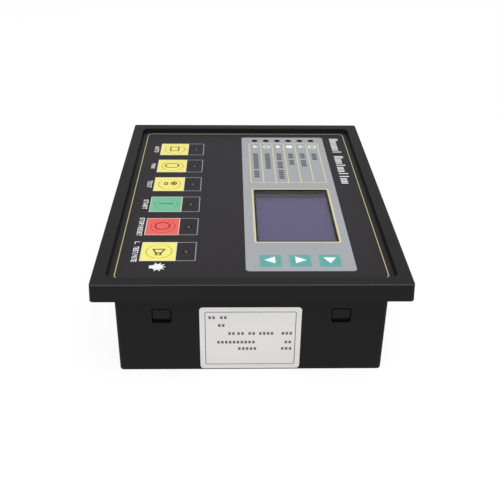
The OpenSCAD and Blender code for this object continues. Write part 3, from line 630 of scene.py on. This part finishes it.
def key_field(key, size, corner, radius, material):
    """The printed and embossed field of one key."""
    centre = middle_of(key)
    name = key.replace("_key", "_field")
    field = flat_shape(name, print_place(key), size, film_low.z, film_top, corner=corner)
    dome = round_step("dome", centre, radius, film_low.z + film_t / 2, film_high.z)
    choose(dome, "FACE", lambda face: face.normal.z > facing_up)
    bpy.ops.mesh.bevel(affect="EDGES", offset=dome_round, segments=dome_steps)
    bpy.ops.object.mode_set(mode="OBJECT")
    combine(field, dome, "UNION")
    hollow = round_step("hollow", centre, radius - film_t, film_low.z - film_t, film_low.z + dome_h)
    combine(field, hollow, "DIFFERENCE")
    bpy.ops.object.shade_smooth_by_angle(angle=smooth_angle)
    field.data.materials.clear()
    field.data.materials.append(material)
    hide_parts("overlay_film")
    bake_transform(field)


# The same matt polyester over coloured print, which looks soft and even.
yellow_film = printed_polyester("yellow_printed_polyester", "#efe57d", "#f3ea87")
green_film = printed_polyester("green_printed_polyester", "#70b694", "#78bd9c")
red_film = printed_polyester("red_printed_polyester", "#e5625c", "#e96963")
teal_film = printed_polyester("teal_printed_polyester", "#5ea39e", "#66aaa5")
row_colours = [yellow_film, yellow_film, yellow_film, green_film, red_film, yellow_film]
for key, colour in zip(row_keys, row_colours):
    key_field(key, row_pad, 0.0, row_dome_r, colour)
for key in arrow_keys:
    key_field(key, arrow_pad, arrow_pad_corner, arrow_dome_r, teal_film)

# Grey field
# A light grey field printed behind the alarm lamps, the display and the arrow keys.
# Each lamp keeps a narrow black ring round it.
grey_size = (167.6 * mm, 53.0 * mm)
grey_place = (-0.2 * mm, 23.7 * mm)
grey_corner = 2.0 * mm
lamp_ring_d = 4.0 * mm
first_print = (film_top, film_top + ink)
second_print = (film_top + ink, film_top + 2 * ink)
grey_field = flat_shape("grey", grey_place, grey_size, *first_print, corner=grey_corner)
cutters = [cutter(pane_mid, opening_size, corner=film_window_corner)]
cutters += [cutter(place, (lamp_ring_d, lamp_ring_d), hole_sides) for place in alarm_places]
cutters += [cutter(print_place(key), arrow_pad, corner=arrow_pad_corner) for key in arrow_keys]
combine(grey_field, join("cutter", cutters), "DIFFERENCE")
# Screen ink under the matt face is an even, cool grey.
grey_print = matt_solid("grey_screen_ink", "#9da0a4", "#a4a7ab",
                        roughness=0.5, specular=0.2, grain=0.35 * mm, depth=0.01 * mm)
give("grey_field_print", [grey_field], "housing", grey_print)

# Gold lines
# Thin gold lines are printed round the whole film, round the display and between the
# alarm rows.
border_size = (180.4 * mm, 129.2 * mm)
border_place = (-0.1 * mm, 0.0)
border_line = 0.5 * mm
border_corner = 3.2 * mm
display_line = 1.1 * mm
display_corner = 1.4 * mm
rows_left = -73.7 * mm
rows_right = -14.5 * mm
row_line = 0.7 * mm
row_step = alarm_places[1].y - alarm_places[0].y
rows_mid = ((rows_left + rows_right) / 2, (alarm_places[0].y + alarm_places[-1].y) / 2)
rows_size = (rows_right - rows_left + row_line, lamp_count * row_step + row_line)
border = flat_shape("border", border_place, border_size, *first_print,
                    corner=border_corner, line=border_line)
ring_size = (opening_size[0] + 2 * display_line, opening_size[1] + 2 * display_line)
display_ring = flat_shape("ring", pane_mid, ring_size, *second_print,
                          corner=display_corner, line=display_line)
row_lines = [flat_shape("rows", rows_mid, rows_size, *second_print, line=row_line)]
inner_line = (rows_size[0] - 2 * row_line, row_line)
for lower, upper in zip(alarm_places, alarm_places[1:]):
    line_place = (rows_mid[0], (lower.y + upper.y) / 2)
    row_lines.append(flat_shape("row", line_place, inner_line, *second_print))
# Bronze-powder ink is a dull gold, and paler where it lies on the grey.
gold_ink = matt_solid("gold_screen_ink", "#b4a878", "#beb382",
                      roughness=0.45, specular=0.2, grain=0.4 * mm, depth=0.004 * mm)
pale_gold_ink = matt_solid("pale_gold_screen_ink", "#cdc69c", "#d4cda4",
                           roughness=0.45, specular=0.3, grain=0.4 * mm, depth=0.004 * mm)
give("gold_border_print", [border], "housing", gold_ink)
give("gold_display_print", [display_ring], "housing", pale_gold_ink)
give("gold_row_lines_print", row_lines, "housing", pale_gold_ink)

# Alarm rows
# Each row has a small white sign beside its lamp and a line of plain dark blocks in
# groups, both printed over the grey field.
sign_x = -68.4 * mm
sign_size = 4.6 * mm
sign_low = 2.76 * mm
sign_line = 0.8 * mm
sign_sides = 32
mark_x = -57.4 * mm
mark_size = (2.0 * mm, 3.1 * mm)
mark_step = 2.65 * mm
word_gap = 2.0 * mm
row_words = [(9, 4), (9,), (4, 4, 5), (3, 3), (3, 4), (4,)]


def matt_print_and_shade(name, colour, worn):
    """Matt screen ink, with a finer tooth than the film; the same finish also serves the painted
    shade round the dome feet.
    """
    return matt_solid(name, colour, worn,
                      roughness=0.5, specular=0.2, grain=0.4 * mm, depth=0.004 * mm)


row_marks = []
for place, words in zip(alarm_places, row_words):
    left = mark_x
    for count in words:
        start = (left, place.y)
        row_marks.append(row_of_blocks("mark", start, mark_size, mark_step, count, *second_print))
        left += count * mark_step + word_gap
sign_square = (sign_size, sign_size)
sign_wide = (sign_size, sign_low)
sign_shapes = [
    (sign_square, {"sides": 3}),
    (sign_square, {"sides": sign_sides, "line": sign_line}),
    (sign_wide, {"sides": 6}),
    (sign_square, {"sides": sign_sides}),
    (sign_square, {"sides": 3, "line": sign_line}),
    (sign_square, {"line": sign_line}),
]
row_signs = []
for place, (size, shape) in zip(alarm_places, sign_shapes):
    row_signs.append(flat_shape("sign", (sign_x, place.y), size, *second_print, **shape))
# Dark slate ink and white ink, both matt.
slate_ink = matt_print_and_shade("slate_screen_ink", "#4c515c", "#545964")
white_ink = matt_print_and_shade("white_screen_ink", "#efefef", "#f6f6f6")
give("alarm_row_marks_print", row_marks, "housing", slate_ink)
give("alarm_row_signs_print", row_signs, "housing", white_ink)

# Key frames and lamp boxes
# A fine pale line runs round each key of the row, and a grey line runs from it round
# the key's lamp.
box_top = -26.9 * mm
box_line = 0.55 * mm
box_corner = 0.4 * mm
key_line = 0.35 * mm
key_frame_size = (row_pad[0] + 2 * key_line, row_pad[1] + 2 * key_line)
lamp_boxes = []
key_frames = []
for key in row_keys:
    centre = print_place(key)
    key_frames.append(flat_shape("frame", centre, key_frame_size, *first_print, line=key_line))
    box_place = (centre.x, (box_top + centre.y) / 2)
    box_size = (key_frame_size[0], box_top - centre.y)
    box = flat_shape("box", box_place, box_size, *first_print, corner=box_corner, line=box_line)
    lamp_boxes.append(combine(box, cutter(centre, key_frame_size), "DIFFERENCE"))
# A mid grey ink, and an off-white one that takes on the colour beside it.
box_ink = matt_print_and_shade("mid_grey_screen_ink", "#87878a", "#8f8f92")
cream_ink = matt_print_and_shade("cream_screen_ink", "#d8d6c4", "#e0decd")
give("lamp_box_print", lamp_boxes, "housing", box_ink)
give("key_frame_print", key_frames, "housing", cream_ink)

# Key marks
# Each key carries a thin printed mark on its dome: a square, an upright oval, two round
# marks, a bar, a circle and a horn, and a white arrowhead on each arrow key.
mark_line = 0.8 * mm
oval_corner = 2.6 * mm
horn_throat = 0.48
arrow_size = (7.4, 7.2)
arrow_back = 0.5
ring_sides = 48
dome_print = (film_high.z, film_high.z + ink)


def mark(key, offset, size, **shape):
    """A printed shape on the dome of a key, at an offset from its printed field's middle.

    Offset and size are in mm."""
    centre = print_place(key)
    place = (centre.x + offset[0] * mm, centre.y + offset[1] * mm)
    return flat_shape("mark", place, (size[0] * mm, size[1] * mm), *dome_print, **shape)


# Dark olive on yellow, dark green on green and dark red on red: each is the key's own
# colour overprinted in black.
olive_ink = matt_print_and_shade("olive_overprint_ink", "#4c4318", "#544b1f")
pine_ink = matt_print_and_shade("pine_overprint_ink", "#235c41", "#2a6449")
maroon_ink = matt_print_and_shade("maroon_overprint_ink", "#861b18", "#8e221f")
auto_mark = mark("auto_key", (0.5, 0.0), (7.0, 5.8), line=mark_line)
manual_mark = mark("manual_key", (0.5, 0.0), (6.3, 8.6), corner=oval_corner, line=mark_line)
test_marks = [
    mark("test_key", (0.4, -1.8), (3.8, 2.6), sides=ring_sides, line=mark_line),
    mark("test_key", (0.1, 2.7), (5.0, 3.6), sides=ring_sides, line=mark_line),
    mark("test_key", (0.1, 2.7), (2.6, 1.4), sides=ring_sides),
]
start_mark = mark("start_key", (0.4, 0.0), (0.8, 8.0))
stop_mark = mark("stop_key", (0.3, 0.0), (8.3, 8.3), sides=ring_sides, line=mark_line)
horn = mark("mute_key", (0.5, 0.1), (4.2, 6.8), line=mark_line, narrow=horn_throat)
horn_foot = mark("mute_key", (3.3, 0.1), (2.6, 3.2), line=mark_line)
combine(horn, horn_foot, "UNION")
give("auto_mark", [auto_mark], "auto_key", olive_ink)
give("manual_mark", [manual_mark], "manual_key", olive_ink)
give("test_mark", test_marks, "test_key", olive_ink)
give("start_mark", [start_mark], "start_key", pine_ink)
give("stop_mark", [stop_mark], "stop_key", maroon_ink)
give("mute_mark", [horn], "mute_key", olive_ink)
arrow_turns = {"right_key": -math.pi / 2, "up_key": 0.0, "down_key": math.pi}
for key, turn in arrow_turns.items():
    back = (arrow_back * math.sin(turn), -arrow_back * math.cos(turn))
    arrow = mark(key, back, arrow_size, sides=3, turn=turn)
    give(key.replace("_key", "_arrow"), [arrow], key, white_ink)

# Dome shade rings
# A fine darker ring round the foot of each dome of the row is painted shade where the
# embossed dome meets the flat film, in a darker shade of the key's own colour.
dome_shade_line = 0.4 * mm
dome_shade_d = 2 * (row_dome_r + dome_shade_line)
dome_shade_rings = {}
for key in row_keys:
    ring = flat_shape("ring", middle_of(key), (dome_shade_d, dome_shade_d), *first_print,
                      sides=dome_sides, line=dome_shade_line)
    dome_shade_rings[key] = ring
# Darker shades of the key colours, for the painted shade round the dome feet.
ochre_shade = matt_print_and_shade("ochre_painted_shade", "#b3a243", "#bbaa4b")
fern_shade = matt_print_and_shade("fern_painted_shade", "#5aa680", "#62ad88")
brick_shade = matt_print_and_shade("brick_painted_shade", "#b9413d", "#c14945")
# These rings are painted shade, laid on the film like print.
yellow_shade_rings = [dome_shade_rings[key] for key in ("auto_key", "manual_key", "test_key", "mute_key")]
give("yellow_dome_painted_shade", yellow_shade_rings, "housing", ochre_shade)
give("green_dome_painted_shade", [dome_shade_rings["start_key"]], "housing", fern_shade)
give("red_dome_painted_shade", [dome_shade_rings["stop_key"]], "housing", brick_shade)

# Legends
# White words under the keys, in plain capitals on equal steps. A long word has shorter
# steps so that it stays within its length, and a wide letter is narrowed to its step.
legend_h = 2.7 * mm
legend_y = -56.7 * mm
legend_step = 2.4 * mm
legend_longest = 20.0 * mm
letter_room = 0.88
letter_weight = 0.02
letter_curve_steps = 4
capital_share = 0.73
same_point = 1e-5
legends = ["AUTO", "MAN", "TEST", "START", "STOP/RESET", "L. TEST/MUTE"]


def letter(sign, centre, height, room):
    """A printed capital, centred and no wider than its room, made into a mesh.

    Its strokes are thickened, but not those of an M, whose outline would cross itself."""
    bpy.ops.object.select_all(action="DESELECT")
    bpy.ops.object.text_add()
    face = bpy.context.object.data
    face.body = sign
    face.align_x = "CENTER"
    face.resolution_u = letter_curve_steps
    face.offset = 0.0 if sign == "M" else letter_weight
    bpy.ops.object.convert(target="MESH")
    made = bpy.context.object
    scale = height / capital_share
    across = [vertex.co.x for vertex in made.data.vertices]
    squeeze = min(1.0, room / (scale * (max(across) - min(across))))
    bpy.ops.object.mode_set(mode="EDIT")
    bpy.ops.mesh.select_all(action="SELECT")
    bpy.ops.mesh.remove_doubles(threshold=same_point)
    bpy.ops.mesh.extrude_region_move(TRANSFORM_OT_translate={"value": (0.0, 0.0, ink / scale)})
    bpy.ops.mesh.select_all(action="SELECT")
    bpy.ops.mesh.normals_make_consistent(inside=False)
    bpy.ops.mesh.faces_shade_flat()
    bpy.ops.object.mode_set(mode="OBJECT")
    made.scale = (scale * squeeze, scale, scale)
    made.location = (centre[0], centre[1] - height / 2, film_top)
    bpy.ops.object.transform_apply()
    return made


letters = []
for key, text in zip(row_keys, legends):
    step = min(legend_step, legend_longest / len(text))
    for i, sign in enumerate(text):
        if sign != " ":
            place = (middle_of(key).x + (i - (len(text) - 1) / 2) * step, legend_y)
            letters.append(letter(sign, place, legend_h, step * letter_room))
give("key_legend_print", letters, "housing", white_ink)

# Title bars
# White upright bars printed along the upper edge of the film, one or two to a place and
# tall or low, in two groups on one foot line.
title_left = -82.6 * mm
title_foot = 54.7 * mm
title_step = 4.1 * mm
tall_h = 5.6 * mm
low_h = 4.0 * mm
bar_w = 1.1 * mm
pair_reach = 1.0 * mm
tall_bar = ((0.0,), tall_h)
tall_pair = ((-pair_reach, pair_reach), tall_h)
low_pair = ((-pair_reach, pair_reach), low_h)
empty_place = ((), 0.0)
first_group = [tall_pair] + [low_pair] * 4 + [tall_bar]
second_group = [tall_pair] + [low_pair] * 2 + [tall_bar] + [low_pair] * 2
second_group += [tall_bar] * 2 + [low_pair] * 2
title_places = first_group + [empty_place] + second_group
title = []
for i, (offsets, height) in enumerate(title_places):
    for offset in offsets:
        place = (title_left + (i + 0.5) * title_step + offset, title_foot + height / 2)
        title.append(flat_shape("bar", place, (bar_w, height), *first_print))
give("title_bars_print", title, "housing", white_ink)

# Bulb sign
# A solid white bulb with its foot and short rays, printed beside the last key in the
# same white ink as the words.
bulb_place = Vector((79.5 * mm, -44.9 * mm))
bulb_d = 5.4 * mm
bulb_foot = (2.6 * mm, 3.4 * mm)
bulb_foot_reach = 2.3 * mm
ray_size = (0.6 * mm, 1.0 * mm)
ray_reach = 3.3 * mm
ray_turns = (-110, -70, -35, 0, 35, 70, 110)
bulb = flat_shape("glass", bulb_place, (bulb_d, bulb_d), *first_print, sides=ring_sides)
foot = flat_shape("foot", (bulb_place.x, bulb_place.y - bulb_foot_reach), bulb_foot, *first_print)
combine(bulb, foot, "UNION")
rays = []
for degrees in ray_turns:
    turn = math.radians(degrees)
    ray_place = bulb_place + ray_reach * Vector((-math.sin(turn), math.cos(turn)))
    rays.append(flat_shape("ray", ray_place, ray_size, *first_print, turn=turn))
give("bulb_print", [bulb] + rays, "housing", white_ink)
